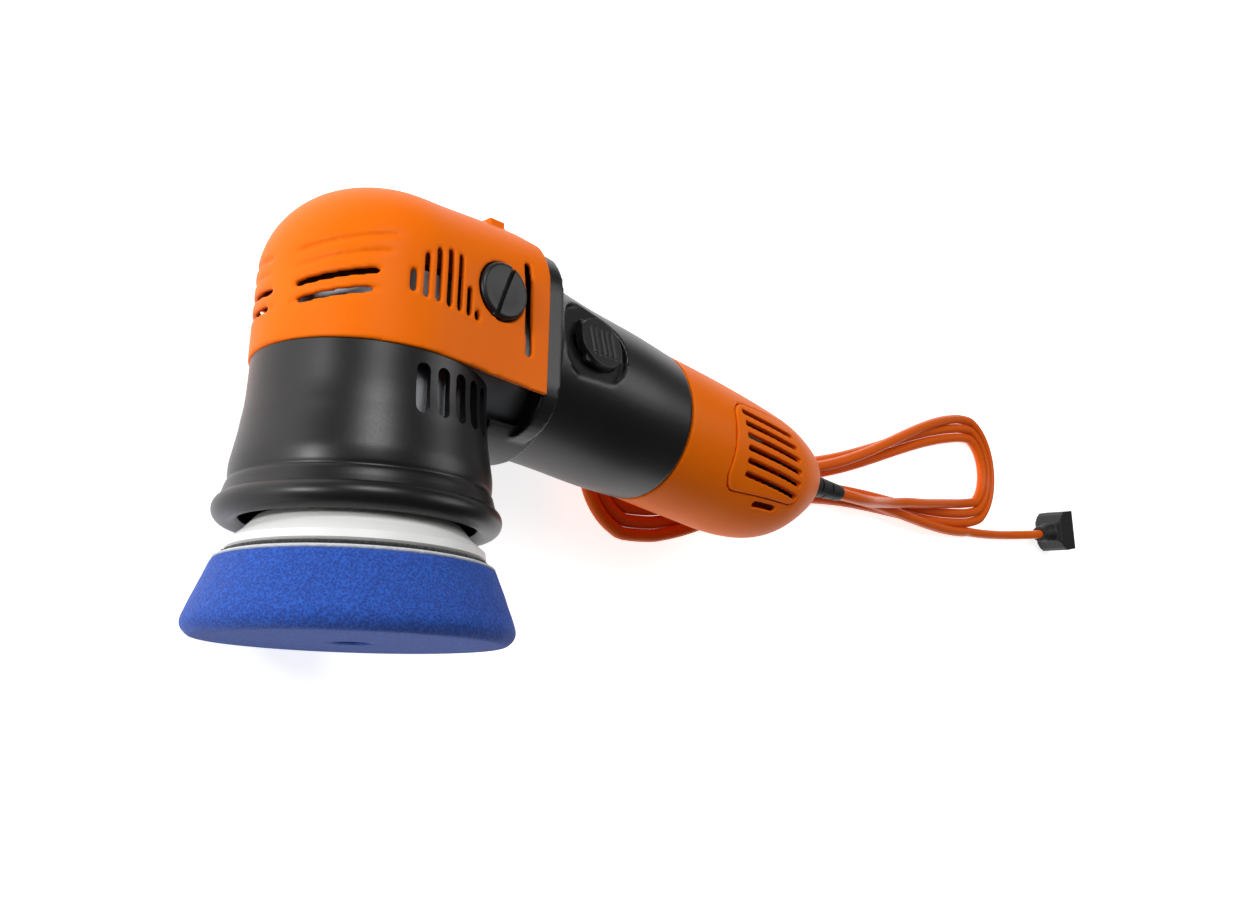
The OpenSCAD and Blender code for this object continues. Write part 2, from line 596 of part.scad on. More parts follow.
tail_holes = 6;
panel_x = 233;
panel_l = 74;
panel_z = 110;
panel_h = 54;
module panel(s, grow) translate([panel_x - grow, s > 0 ? 0 : -100, panel_z - grow])
    cube([panel_l + 2 * grow, 100, panel_h + 2 * grow]);
module rear_housing() color("#f97a12") lay() difference() {
    loft(tail_sections);
    loft(tail_sections, housing_wall);
    along_x(parting_x - 5) cylinder(r = 60, h = 5.3);
    for (s = [-1, 1]) panel(s, 0.4);
    // Bore for the strain relief
    translate([tail_x - 20, 0, relief_z]) rotate([0, 90, 0]) cylinder(r = 8.1, h = 30);
    // Slot for the speed dial
    dial_place() translate([-13, -13, -4]) cube([26, 26, 8]);
}
module tail_ring() color("#1a1a1a") lay() translate([tail_x + 0.02, 0, relief_z]) rotate([0, 90, 0]) difference() {
    cylinder(r = 17, h = ring_l);
    translate([0, 0, -1]) cylinder(r = 8.1, h = ring_l + 2);
}
module brush_cover(s) color("#f97a12") lay() difference() {
    intersection() {
        difference() {
            loft(tail_sections, -0.8);
            loft(tail_sections, housing_wall);
        }
        panel(s, 0);
    }
    for (i = [0 : tail_holes - 1]) translate([panel_x + 6, s > 0 ? 10 : -70, panel_z + 46 - i * 8.2])
        cube([panel_l - 14 - abs(i - 2.5) * 2, 60, 3.4]);
}
module brush_cover_left() brush_cover(-1);
module brush_cover_right() brush_cover(1);
module housing_screws() color("silver") lay() for (a = [45 : 90 : 315])
    along_x(parting_x - 4) rotate([0, 0, a]) translate([sleeve_r + 3.2, 0, 6]) cylinder(r = 2.5, h = 3);
dial_angle = -33;
module dial_place() translate([300, 0, 137]) rotate([dial_angle, 0, 0]) translate([0, 0, 33]) rotate([90, 0, 0]) children();
module speed_dial() color("#2b2b2b") lay() dial_place() difference() {
    translate([0, 0, -2.8]) cylinder(r = 11.5, h = 5.6);
    for (i = [0 : 23]) rotate([0, 0, i * 15]) translate([11, 0, -4]) cylinder(r = 0.7, h = 8, $fn = 16);
}

// ---- Supply ----
module strain_relief() color("#151515") lay() translate([tail_x - 10, 0, relief_z]) rotate([0, 90, 0]) difference() {
    rotate_extrude() polygon([[cord_d / 2, 0], [11, 0], [11, 4], [8, 4], [8, 12.2], [10.5, 12.2], [10.2, 18],
        [cord_d / 2 + 1.2, relief_l + 10], [cord_d / 2, relief_l + 10]]);
    for (i = [0 : 4]) for (a = [0, 180]) rotate([0, 0, a + 90 * (i % 2)])
        translate([4.6, -12, 22 + 8 * i]) cube([12, 24, 3]);
}
module cord_clamp() color("#303030") lay() translate([tail_x - 30, 0, relief_z]) {
    translate([0, -14, 6]) cube([9, 28, 5]);
    translate([0, -14, -11]) cube([9, 28, 5]);
}

// The cord, the hank and the plug lie on the surface and are drawn in the final frame.
// Hank: a long flat loop tied at its waist, so that it spreads into a lobe on each side.
waist = [287, 49];
hank_turn = 11;
right_lobe_l = 372;
left_lobe_l = 232;
right_lobe_w = 122;
left_lobe_w = 100;
left_turn = -4;
waist_w = 38;
low_h = 10;
high_h = 2 * cord_d + 1;
tie_w = 14;
tie_t = 1.2;
cord_r = cord_d / 2;
module hank_place() translate([waist[0], waist[1], 0]) rotate([0, 0, hank_turn]) children();
// A drop shape from the waist to a round end
function lobe(l, w, s) = let (r = w / 2) concat(
    [[0, -s * waist_w / 2]],
    [for (i = [1 : 5]) [s * (l - r) * i / 6, -s * (waist_w / 2 + (r - waist_w / 2) * (1 - cos(30 * i)) / 2)]],
    [for (i = [0 : 12]) [s * (l - r + r * cos(-90 + 15 * i)), s * r * sin(-90 + 15 * i)]],
    [for (i = [5 : -1 : 1]) [s * (l - r) * i / 6, s * (waist_w / 2 + (r - waist_w / 2) * (1 - cos(30 * i)) / 2)]],
    [[0, s * waist_w / 2]]);
module hank_band(grow, h) translate([-tie_w / 2, -waist_w / 2 - grow, 0])
    cube([tie_w, waist_w + 2 * grow, h]);
module tie_shape() difference() {
    hank_band(1, high_h + tie_t);
    translate([-tie_w / 2 - 1, -waist_w / 2 + tie_t, tie_t])
        cube([tie_w + 2, waist_w - 2 * tie_t, high_h - tie_t]);
}
module cord_hank() color("#e65c00") difference() {
    hank_place() {
        linear_extrude(high_h) polygon(lobe(right_lobe_l, right_lobe_w, 1));
        rotate([0, 0, left_turn]) linear_extrude(low_h) polygon(lobe(left_lobe_l, left_lobe_w, -1));
    }
    hank_place() tie_shape();
}
module hank_tie() color("#202020") hank_place() tie_shape();
// From the strain relief down on to the hank
lead_points = [[269, 32.7, 60.9], [282, 32.7, 60.8], [296, 33, 60], [312, 34, 57.5], [330, 36, 53],
    [350, 39, 46], [372, 43, 38], [396, 47, 30.5], [420, 51, 26], [442, 55, 24], [462, 59, 23.3]];
module cord_lead() color("#e65c00") tube(smooth(lead_points, 3), cord_r, 10);
// From the hank along the surface to the plug
tail_points = [[592, 51, 4.6], [612, 52.5, 4.6], [634, 54.5, 4.6], [656, 57, 4.6], [676, 59.5, 5],
    [694, 62, 6.8], [712, 64.5, 10], [726, 66.5, 12.8], [739, 69, 14]];
module cord_tail() color("#e65c00") tube(smooth(tail_points, 3), cord_r, 10);
plug_turn = 12;
plug_w = 42;
plug_t = 28;
plug_at = [739, 69, plug_t / 2];
pin_l = 19;
pin_d = 4.8;
pin_pitch = 19;
module plug_place() translate(plug_at) rotate([0, 0, plug_turn]) children();
module plug_body() color("#141414") plug_place() difference() {
    union() {
        // Ribbed neck
        for (i = [0 : 5]) translate([i * 4, 0, 0]) rotate([0, 90, 0]) cylinder(r = 8 + 0.4 * i, h = 2.6);
        rotate([0, 90, 0]) cylinder(r = 6.8, h = 26);
        // Six sided body
        translate([24, 0, -plug_t / 2]) linear_extrude(plug_t) polygon([[0, -11], [8, -plug_w / 2],
            [plug_l - 24, -plug_w / 2], [plug_l - 24, plug_w / 2], [8, plug_w / 2], [0, 11]]);
    }
    translate([-1, 0, 0]) rotate([0, 90, 0]) cylinder(r = cord_r + seat_gap, h = 1.1);
}
module plug_pins() color("silver") plug_place() for (p = [[-1, 0], [1, 0], [0, 3]])
    translate([plug_l, p[0] * pin_pitch / 2, p[1]]) rotate([0, 90, 0]) cylinder(r = pin_d / 2, h = pin_l);

foam_pad();
pad_loop();
hook_disc();
backing_plate();
plate_bolt();
arbor();
arbor_bearing_lower();
arbor_bearing_upper();
counterweight();
spindle();
ring_gear();
spindle_bearing_lower();
spindle_bearing_upper();
bearing_flange();
bearing_retainer();
flange_screws();
shroud();
shroud_screws();
gear_case();
motor_flange();
head_cover();
head_cap_left();
head_cap_right();
pinion();
armature_shaft();
armature_core();
armature_windings();
commutator();
fan();
front_bearing();
rear_bearing();
field_core();
field_coils();
air_baffle();
brush_holders();
brushes();
brush_springs();
motor_housing();
rear_housing();
tail_ring();
brush_cover_left();
brush_cover_right();
housing_screws();
switch_slider();
switch_rod();
switch_module();
speed_module();
speed_dial();
strain_relief();
cord_clamp();
cord_lead();
cord_hank();
cord_tail();
hank_tie();
plug_body();
plug_pins();
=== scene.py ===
"""The looks of a dual action polisher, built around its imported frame.

The tool is modelled upright in millimetres, as in the CAD source: pad face at height 0, spindle on
the upright axis, handle along +x, the operator's left at -y. One matrix then lays it on its side.
The cord, its hank and its plug lie on the surface, so they are modelled where they lie.
"""

import json
import math

import bmesh
import bpy
from mathutils import Matrix, Vector, noise

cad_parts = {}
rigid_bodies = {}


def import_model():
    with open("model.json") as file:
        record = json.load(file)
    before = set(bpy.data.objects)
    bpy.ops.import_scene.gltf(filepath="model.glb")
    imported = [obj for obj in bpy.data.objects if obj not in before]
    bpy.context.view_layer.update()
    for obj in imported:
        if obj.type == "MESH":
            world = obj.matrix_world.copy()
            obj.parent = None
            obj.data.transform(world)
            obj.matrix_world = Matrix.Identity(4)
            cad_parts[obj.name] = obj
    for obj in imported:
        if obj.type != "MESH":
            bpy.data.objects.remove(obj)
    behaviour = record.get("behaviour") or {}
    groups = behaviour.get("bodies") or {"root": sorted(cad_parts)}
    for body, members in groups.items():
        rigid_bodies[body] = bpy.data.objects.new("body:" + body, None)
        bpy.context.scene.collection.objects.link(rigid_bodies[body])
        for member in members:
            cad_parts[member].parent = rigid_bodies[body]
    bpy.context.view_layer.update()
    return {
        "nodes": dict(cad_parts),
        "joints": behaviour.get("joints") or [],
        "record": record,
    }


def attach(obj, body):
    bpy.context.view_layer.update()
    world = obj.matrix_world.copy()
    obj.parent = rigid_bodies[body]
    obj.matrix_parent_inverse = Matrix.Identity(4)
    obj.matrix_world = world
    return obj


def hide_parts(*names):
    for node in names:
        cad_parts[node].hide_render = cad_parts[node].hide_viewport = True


for leftover in list(bpy.data.objects):
    bpy.data.objects.remove(leftover)
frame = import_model()

MM = 0.001
JOINTS = {j["name"]: j for j in frame["joints"]}


def lying():
    """The matrix that takes upright millimetres to the lying tool's metres, read off the spindle."""
    spin = JOINTS["spindle_spin"]
    up = Vector(spin["axis"]).normalized()
    along = Vector((1, 0, 0))
    across = up.cross(along)
    spin_height = 110 * MM
    foot = Vector(spin["pos_m"]) - up * spin_height
    turn = Matrix((along, across, up)).transposed().to_4x4()
    return Matrix.Translation(foot) @ turn @ Matrix.Scale(MM, 4)


LAY = lying()
FLAT = Matrix.Scale(MM, 4)

# ---- Sizes, in millimetres ----
PAD_D, PAD_TOP_D, PAD_H, PAD_HOLE_D = 150, 130, 34, 16
LOOP_H, HOOK_H, PLATE_D = 2, 2.5, 119
THROW, REST_ANGLE = 15, -120
RIM_R, RIM_Z, ROLL_R, DRUM_R = 67.5, 59, 6.5, 57.5
FLANGE_Z = 99
COVER_Z, COVER_H, COVER_REAR, COVER_W, COVER_WALL = 130, 91, 68, 110, 3
CAP_X, CAP_Z, CAP_D, CAP_PROUD, CAP_EDGE = 35, 171, 29, 3.5, 2.2
AXIS_Z, NECK_R = 150, 44
PARTING_X, TAIL_X, WALL = 191.5, 362, 3
RELIEF_Z, RELIEF_L = 142, 55
CORD_D = 9
SWITCH_X, SWITCH_ANGLE, POCKET_R, POCKET_DEPTH = 108, 14, 25, 5

# ---- Camera ----
CAMERA_AT = Vector((-434.7, -121.8, 521.7)) * MM
LOOKS_ALONG = Vector((0.6983, 0.2022, -0.6867)).normalized()
PICTURE_UP = Vector((-0.1866, 0.9775, 0.0981))
LENS_MM, SENSOR_MM = 32.53, 36


def camera():
    """A camera that looks down along the tool from in front of its head."""
    data = bpy.data.cameras.new("camera")
    data.lens, data.sensor_width = LENS_MM, SENSOR_MM
    data.clip_start = 0.01
    obj = bpy.data.objects.new("camera", data)
    bpy.context.collection.objects.link(obj)
    right = LOOKS_ALONG.cross(PICTURE_UP).normalized()
    up = right.cross(LOOKS_ALONG)
    obj.matrix_world = Matrix.Translation(CAMERA_AT) @ Matrix((right, up, -LOOKS_ALONG)).transposed().to_4x4()
    bpy.context.scene.camera = obj


camera()


# ---- Materials ----
def colour(hex_value):
    """An sRGB hex colour as linear RGBA."""
    parts = [int(hex_value[i : i + 2], 16) / 255 for i in (1, 3, 5)]
    return (*[c / 12.92 if c <= 0.04045 else ((c + 0.055) / 1.055) ** 2.4 for c in parts], 1)


def add(tree, kind, inputs=(), **settings):
    """One node, with its settings, and each input given as a value or as another node's socket."""
    made = tree.nodes.new(kind)
    for key, value in settings.items():
        setattr(made, key, value)
    for key, value in dict(inputs).items():
        if isinstance(value, bpy.types.NodeSocket):
            tree.links.new(value, made.inputs[key])
        else:
            made.inputs[key].default_value = value
    return made


def blank(name):
    """An empty material with its tree, its shader and the object's coordinates."""
    made = bpy.data.materials.new(name)
    made.use_nodes = True
    tree = made.node_tree
    tree.nodes.clear()
    shader = add(tree, "ShaderNodeBsdfPrincipled")
    out = add(tree, "ShaderNodeOutputMaterial")
    tree.links.new(shader.outputs["BSDF"], out.inputs["Surface"])
    where = add(tree, "ShaderNodeTexCoord").outputs["Object"]
    return made, tree, shader, where


def per(size_mm):
    """The texture scale at which one feature is about this many millimetres."""
    return 1 / (size_mm * MM)


def plastic(name, base, shade, rough, grain_mm, grain_depth_mm, blotch_mm=35, shine=0.4):
    """Moulded thermoplastic: an even body colour with slow drifts, and the fine spark eroded grain of
    the mould, which breaks the highlight up. The grain is drawn coarser than life so that it shows."""
    made, tree, shader, where = blank(name)
    drift = add(tree, "ShaderNodeTexNoise", {"Vector": where, "Scale": per(blotch_mm), "Detail": 3})
    ramp = add(tree, "ShaderNodeMix", {0: drift.outputs["Fac"], 6: colour(base), 7: colour(shade)},
               data_type="RGBA")
    tree.links.new(ramp.outputs[2], shader.inputs["Base Color"])
    grain = add(tree, "ShaderNodeTexNoise",
                {"Vector": where, "Scale": per(grain_mm), "Detail": 4, "Roughness": 0.6})
    spread = add(tree, "ShaderNodeMapRange", {"Value": grain.outputs["Fac"], "From Min": 0.3, "From Max": 0.7,
                                              "To Min": rough - 0.05, "To Max": rough + 0.07})
    tree.links.new(spread.outputs["Result"], shader.inputs["Roughness"])
    bump = add(tree, "ShaderNodeBump",
               {"Height": grain.outputs["Fac"], "Distance": grain_depth_mm * MM, "Strength": 0.6})
    tree.links.new(bump.outputs["Normal"], shader.inputs["Normal"])
    shader.inputs["Specular IOR Level"].default_value = shine
    return made


def metal(name, base, shade, rough, streak, streak_mm, depth_mm, stretched=(1, 1, 1)):
    """Bare metal with the marks of its making: streaks along one direction, or an even cast grain."""
    made, tree, shader, where = blank(name)
    stretch = add(tree, "ShaderNodeMapping", {"Vector": where, "Scale": stretched})
    marks = add(tree, "ShaderNodeTexNoise", {"Vector": stretch.outputs["Vector"], "Scale": per(streak_mm),
                                             "Detail": 5, "Roughness": streak})
    mix = add(tree, "ShaderNodeMix", {0: marks.outputs["Fac"], 6: colour(base), 7: colour(shade)},
              data_type="RGBA")
    tree.links.new(mix.outputs[2], shader.inputs["Base Color"])
    spread = add(tree, "ShaderNodeMapRange", {"Value": marks.outputs["Fac"], "From Min": 0.3, "From Max": 0.7,
                                              "To Min": rough - 0.08, "To Max": rough + 0.1})
    tree.links.new(spread.outputs["Result"], shader.inputs["Roughness"])
    bump = add(tree, "ShaderNodeBump",
               {"Height": marks.outputs["Fac"], "Distance": depth_mm * MM, "Strength": 0.5})
    tree.links.new(bump.outputs["Normal"], shader.inputs["Normal"])
    shader.inputs["Metallic"].default_value = 1
    return made


def open_cell_foam():
    """Reticulated polyurethane foam: a matt blue net with painted shade darkening its small pores, and a little
    fuzz.
    """
    made, tree, shader, where = blank("open_cell_foam")
    pores = add(tree, "ShaderNodeTexVoronoi", {"Vector": where, "Scale": per(1.1), "Randomness": 1.0})
    fine = add(tree, "ShaderNodeTexNoise",
               {"Vector": where, "Scale": per(2.2), "Detail": 6, "Roughness": 0.7})
    depth = add(tree, "ShaderNodeMath", {0: pores.outputs["Distance"], 1: fine.outputs["Fac"]},
                operation="MULTIPLY")
    ramp = add(tree, "ShaderNodeMapRange",
               {"Value": depth.outputs["Value"], "From Min": 0.05, "From Max": 0.42})
    # painted shade: the darker blue fills the pores, where shade falls into the foam
    mix = add(tree, "ShaderNodeMix", {0: ramp.outputs["Result"], 6: colour("#102E7C"), 7: colour("#2054B4")},
              data_type="RGBA")
    tree.links.new(mix.outputs[2], shader.inputs["Base Color"])
    bump = add(tree, "ShaderNodeBump",
               {"Height": depth.outputs["Value"], "Distance": 0.5 * MM, "Strength": 0.7})
    tree.links.new(bump.outputs["Normal"], shader.inputs["Normal"])
    shader.inputs["Roughness"].default_value = 0.92
    shader.inputs["Sheen Weight"].default_value = 0.06
    shader.inputs["Sheen Roughness"].default_value = 0.5
    return made


def fuzzy(name, base, shade, fibre_mm):
    """Hook or loop tape: stiff short fibres, with painted shade between them and a painted highlight on their
    tips.
    """
    made, tree, shader, where = blank(name)
    fibres = add(tree, "ShaderNodeTexNoise",
                 {"Vector": where, "Scale": per(fibre_mm), "Detail": 5, "Roughness": 0.8})
    # painted shade and painted highlight: the first colour is the shade between the fibres, the second a
    # highlight on their tips
    mix = add(tree, "ShaderNodeMix", {0: fibres.outputs["Fac"], 6: colour(base), 7: colour(shade)},
              data_type="RGBA")
    tree.links.new(mix.outputs[2], shader.inputs["Base Color"])
    bump = add(tree, "ShaderNodeBump", {"Height": fibres.outputs["Fac"], "Distance": 0.8 * MM, "Strength": 0.9})
    tree.links.new(bump.outputs["Normal"], shader.inputs["Normal"])
    shader.inputs["Roughness"].default_value = 0.9
    shader.inputs["Sheen Weight"].default_value = 0.3
    return made


MATERIALS = {
    "orange_shell": plastic("moulded_orange_polyamide", "#EC700A", "#E46604", 0.42, 0.5, 0.02, shine=0.06),
    "black_shell": plastic("moulded_black_polyamide", "#070708", "#0B0B0C", 0.36, 0.5, 0.02),
    "black_trim": plastic("moulded_black_trim", "#0B0B0D", "#111214", 0.42, 0.4, 0.02),
    "white_plate": plastic("moulded_white_nylon", "#E6E6E4", "#DADAD8", 0.4, 0.6, 0.015),
    "foam": open_cell_foam(),
    # each cloth's darker colour is painted shade between its fibres, its lighter colour a painted highlight on
    # their tips
    "loop_cloth": fuzzy("brushed_loop_cloth", "#B9BDC4", "#F1F3F5", 0.6),
    "hook_cloth": fuzzy("nylon_hook_tape", "#070708", "#202022", 0.7),
    "steel": metal("turned_steel", "#9A9B9D", "#B4B5B6", 0.34, 0.6, 3, 0.01, (1, 1, 6)),
    "bearing_steel": metal("ground_bearing_steel", "#B6B8BA", "#C9CACC", 0.2, 0.4, 4, 0.004),
    "gear_steel": metal("hardened_gear_steel", "#4B4C50", "#5E5F63", 0.42, 0.6, 3, 0.02),
    "cast_alloy": metal("die_cast_aluminium", "#77797C", "#8E9093", 0.45, 0.7, 1.2, 0.05),
    "lamination": metal("stacked_electrical_steel", "#55565A", "#6B6C70", 0.5, 0.5, 0.8, 0.05, (6, 1, 1)),
    "copper": metal("enamelled_copper_wire", "#8E3F1B", "#C0703C", 0.35, 0.5, 0.7, 0.1, (1, 1, 4)),
    "brush_brass": metal("pressed_brass", "#B08A45", "#C9A55E", 0.35, 0.5, 3, 0.01),
    "carbon": plastic("pressed_carbon", "#141414", "#232323", 0.6, 0.4, 0.05),
    "green_board": plastic("potted_circuit_board", "#1C4A26", "#27602F", 0.35, 2.5, 0.1),
    "cord_jacket": plastic("smooth_pvc_jacket", "#E2620E", "#D85806", 0.34, 1.2, 0.01, 60, 0.15),
    "plug_rubber": plastic("moulded_black_rubber", "#0F0F10", "#161618", 0.5, 0.5, 0.03),
    "pin_metal": metal("nickel_plated_brass", "#C4C2BC", "#D8D6D0", 0.22, 0.4, 4, 0.004),
}
for subpart in frame["record"]["subparts"]:
    for part_slot in frame["nodes"][subpart["node"]].material_slots:
        part_slot.material = MATERIALS[subpart["material_slot"]]


# ---- Mesh tools ----
def piece(name, verts, faces):
    """A mesh object, with its faces turned outwards."""
    mesh = bpy.data.meshes.new(name)
    mesh.from_pydata([tuple(v) for v in verts], [], faces)
    work = bmesh.new()
    work.from_mesh(mesh)
    bmesh.ops.recalc_face_normals(work, faces=work.faces)
    work.to_mesh(mesh)
    work.free()
    obj = bpy.data.objects.new(name, mesh)
    bpy.context.collection.objects.link(obj)
    return obj


def rings(name, loops, closed=False):
    """A skin over loops of equally many points, with flat ends or joined end to end."""
    n, count = len(loops[0]), len(loops)
    verts = [p for loop in loops for p in loop]
    faces = []
    for i in range(count if closed else count - 1):
        a, b = i * n, (i + 1) % count * n
        faces += [(a + k, a + (k + 1) % n, b + (k + 1) % n, b + k) for k in range(n)]
    if not closed:
        faces += [tuple(range(n)), tuple(range((count - 1) * n, count * n))]
    return piece(name, verts, faces)


def lathe(name, outline, steps=160, centre=(0, 0)):
    """A closed outline of (radius, height) turned round an upright axis."""
    loops = []
    for i in range(steps):
        a = 2 * math.pi * i / steps
        loops.append([(centre[0] + r * math.cos(a), centre[1] + r * math.sin(a), z) for r, z in outline])
    return rings(name, loops, closed=True)


def prism(name, outline, low, high, matrix=Matrix()):
    """A flat outline pushed from low to high, then placed by the matrix."""
    return rings(name, [[matrix @ Vector((x, y, z)) for x, y in outline] for z in (low, high)])


def joined(name, objects):
    """Several objects as one mesh."""
    verts, faces = [], []
    for obj in objects:
        start = len(verts)
        verts += [v.co.copy() for v in obj.data.vertices]
        faces += [tuple(start + i for i in f.vertices) for f in obj.data.polygons]
        bpy.data.objects.remove(obj)
    return piece(name, verts, faces)


def shaped(obj, kind, **settings):
    """Adds one modifier and takes its result as the mesh."""
    step = obj.modifiers.new(kind, kind)
    for key, value in settings.items():
        setattr(step, key, value)
    graph = bpy.context.evaluated_depsgraph_get()
    graph.update()
    mesh = bpy.data.meshes.new_from_object(obj.evaluated_get(graph))
    obj.modifiers.clear()
    obj.data = mesh
    return obj


def combined(obj, other, operation):
    """obj with other added, cut away or kept in common."""
    shaped(obj, "BOOLEAN", object=other, operation=operation, solver="EXACT")
    bpy.data.objects.remove(other)
    return obj


def softened(obj, voxel, passes):
    """Rounds every edge a little: the mesh is rebuilt on an even grid and relaxed."""
    shaped(obj, "REMESH", mode="VOXEL", voxel_size=voxel)
    if passes:
        shaped(obj, "SMOOTH", factor=0.5, iterations=passes)
    return obj


def finished(obj, body, slot, *nodes, matrix=LAY, sharp=None):
    """Puts a piece where it lies, shades it, rides it on its body and hides the imported nodes it stands for.
    """
    obj.data.transform(matrix)
    for face in obj.data.polygons:
        face.use_smooth = True
    if sharp:
        obj.data.set_sharp_from_angle(angle=math.radians(sharp))
    obj.data.materials.clear()
    obj.data.materials.append(MATERIALS[slot])
    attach(obj, body)
    if nodes:
        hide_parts(*nodes)
    return obj


def arc(cx, cy, r, a0, a1, n=10):
    """Points on a circle from one angle to another, in degrees."""
    steps = [math.radians(a0 + (a1 - a0) * i / n) for i in range(n + 1)]
    return [(cx + r * math.cos(a), cy + r * math.sin(a)) for a in steps]


def eased(points, per_span=6):
    """A smooth curve through all the points, with that many steps from each to the next."""
    out = []
    for i in range(len(points) - 1):
        a, b, c, d = (Vector(points[k]) for k in (max(i - 1, 0), i, i + 1, min(i + 2, len(points) - 1)))
        for s in range(per_span):
            t = s / per_span
            out.append(0.5 * (2 * b + (c - a) * t + (2 * a - 5 * b + 4 * c - d) * t * t
                              + (3 * b - a - 3 * c + d) * t ** 3))
    return out + [Vector(points[-1])]


def along_x(x, z=AXIS_Z):
    """A frame whose own upright axis runs along the handle."""
    return Matrix.Translation((x, 0, z)) @ Matrix.Rotation(math.radians(90), 4, "Y")


def disc(name, r, low, high, matrix=Matrix(), steps=64):
    """A plain round prism, for cutting."""
    return prism(name, arc(0, 0, r, 0, 360 - 360 / steps, steps - 1), low, high, matrix)


def boxed(name, low, high):
    """A box between two corners."""
    outline = [(low[0], low[1]), (high[0], low[1]), (high[0], high[1]), (low[0], high[1])]
    return prism(name, outline, low[2], high[2])


def stadium(length, width):
    """A slot outline with round ends, centred, along its first axis."""
    half = length / 2 - width / 2
    return arc(half, 0, width / 2, -90, 90, 8) + arc(-half, 0, width / 2, 90, 270, 8)


# ---- Cord ----
CORD_R = CORD_D / 2
PITCH = CORD_D + 0.3
WAIST, HANK_TURN, LEFT_TURN = Vector((287, 49)), 11, -4
RIGHT_L, RIGHT_R, LEFT_L, LEFT_R = 372, 61, 232, 51.5
TIE_W, TIE_T = 14, 1.2
COLUMN = PITCH / 2
LEAD = [(269, 32.7, 60.9), (282, 32.7, 60.8), (296, 33, 60), (312, 34, 57.5), (330, 36, 53), (350, 39, 46),
        (372, 43, 38), (396, 47, 30.5), (420, 51, 26), (442, 55, 24), (480, 60.5, 19.5), (515, 66.5, 14.5),
        (550, 72.5, 9.5), (576, 77, 6)]
TAIL = [(592, 51, 4.6), (612, 52.5, 4.6), (634, 54.5, 4.6), (656, 57, 4.6), (676, 59.5, 5),
        (694, 62, 6.8), (712, 64.5, 10), (726, 66.5, 12.8), (739, 69, 14)]
TURNS = 3


def ease(t):
    return (1 - math.cos(math.pi * min(max(t, 0), 1))) / 2


def on_hank(u, v, z):
    """A point of the hank, given along and across it, where it lies."""
    lean = HANK_TURN + (LEFT_TURN * min(1, -u / 40) if u < 0 else 0)
    a = math.radians(lean)
    return (WAIST.x + u * math.cos(a) - v * math.sin(a), WAIST.y + u * math.sin(a) + v * math.cos(a), z)


RIGHT_RUN, LEFT_RUN = RIGHT_L - RIGHT_R, LEFT_L - LEFT_R
RIGHT_SHIFT = PITCH / 2
WAIST_COLUMN = {0: COLUMN, 1: 3 * COLUMN, 2: 2 * COLUMN}


def right_radius(turn):
    return RIGHT_R - CORD_R - RIGHT_SHIFT - PITCH * (TURNS - 1 - turn)


def left_radius(turn):
    return LEFT_R - CORD_R - PITCH * (TURNS - 1 - turn)


def across(turn, side, u):
    """How far from the hank's middle line the strand of this turn runs; the lower strands come one later."""
    column = WAIST_COLUMN[turn]
    if u < 0:
        return side * (column + (left_radius(turn) - column) * ease(-u / LEFT_RUN))
    far = side * right_radius(turn + (side < 0)) + RIGHT_SHIFT
    return side * column + (far - side * column) * ease(u / RIGHT_RUN)


def height(turn, side, u):
    """The outer turn rides over the middle one at the tie and rolls down beside it."""
    low = CORD_R + (TIE_T + 0.1) * (1 - ease((abs(u) - 12) / 40))
    if turn < TURNS - 1:
        return low
    gap = abs(across(turn, side, u) - across(turn - 1, side, u))
    return low + math.sqrt(max(0, PITCH ** 2 - gap ** 2))


def run(turn, side, start, end, steps):
    """One strand through the waist, from one place along the hank to another."""
    places = [start + (end - start) * i / steps for i in range(steps + 1)]
    return [on_hank(u, across(turn, side, u), height(turn, side, u)) for u in places]


def cord_route():
    """From the strain relief down on the hank, three turns through the waist, and off to the plug."""
    points = list(LEAD)
    for turn in range(TURNS):
        r = right_radius(turn)
        points += [on_hank(RIGHT_RUN + x, y + RIGHT_SHIFT, CORD_R) for x, y in arc(0, 0, r, -75, 75, 12)]
        points += run(turn, 1, RIGHT_RUN - 8, 12 - LEFT_RUN, 34)
        r = left_radius(turn)
        points += [on_hank(-LEFT_RUN + x, y, CORD_R) for x, y in arc(0, 0, r, 105, 255, 12)]
        last = turn == TURNS - 1
        points += run(turn, -1, 12 - LEFT_RUN, RIGHT_RUN - (24 if last else 8), 34)
    return points + TAIL


def cord():
    """The mains lead as one round curve."""
    points = eased(cord_route(), 3)
    data = bpy.data.curves.new("mains_cord", "CURVE")
    data.dimensions = "3D"
    data.bevel_depth = CORD_R * MM
    data.bevel_resolution = 6
    data.use_fill_caps = True
    line = data.splines.new("POLY")
    line.points.add(len(points) - 1)
    for knot, p in zip(line.points, points):
        knot.co = (*(p * MM), 1)
    data.materials.append(MATERIALS["cord_jacket"])
    obj = bpy.data.objects.new("mains_cord", data)
    bpy.context.collection.objects.link(obj)
    length = sum((b - a).length for a, b in zip(points, points[1:])) * MM
    return obj, length


mains_cord, cord_length = cord()
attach(mains_cord, "tool")
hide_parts("cord_lead", "cord_hank", "cord_tail")


